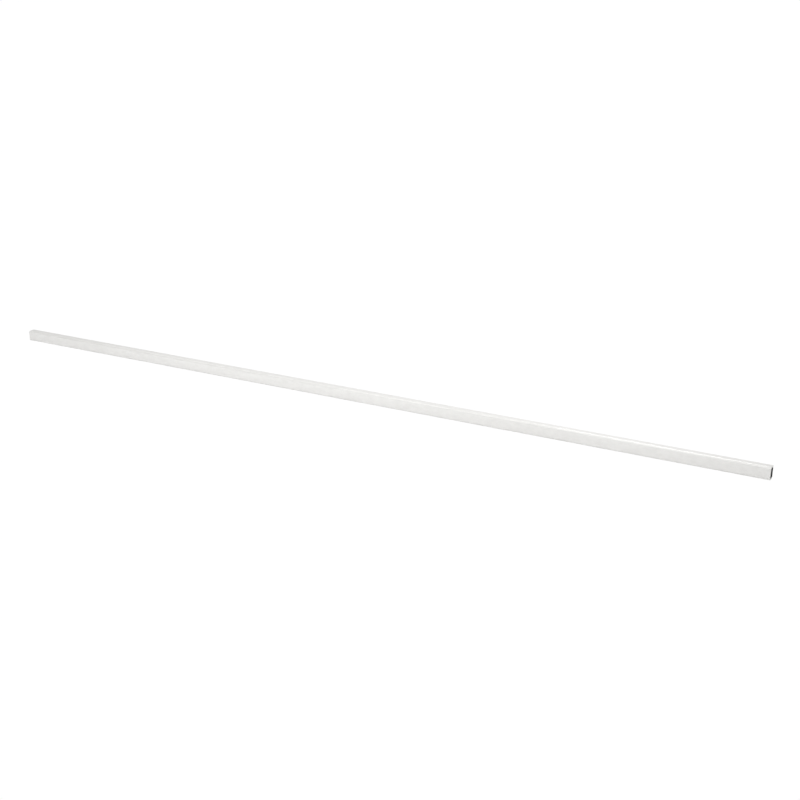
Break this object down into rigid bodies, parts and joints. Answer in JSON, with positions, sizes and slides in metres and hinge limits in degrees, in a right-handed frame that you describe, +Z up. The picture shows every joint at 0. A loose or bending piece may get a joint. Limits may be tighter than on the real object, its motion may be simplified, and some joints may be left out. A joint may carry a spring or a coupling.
{
  "type": "white hollow shaft",
  "caption": "Long straight white-coated tube of rounded rectangular section with open ends, as the bare shaft of a cane or a plain rail.",
  "frame": {"origin": "middle of the underside, halfway between the two cut ends", "axes": "+X along the shaft, +Z up from the underside it lies on, Y across its width"},
  "size_m": [1.17, 0.0126, 0.016],
  "materials": {
    "bare_metal": "uncoated mill finish, dulled dark grey inside the bore",
    "white_coat": "smooth satin white powder coat"
  },
  "bodies": {
    "root": {"shaft_tube": "bare_metal", "white_coat": "white_coat"}
  },
  "joints": []
}
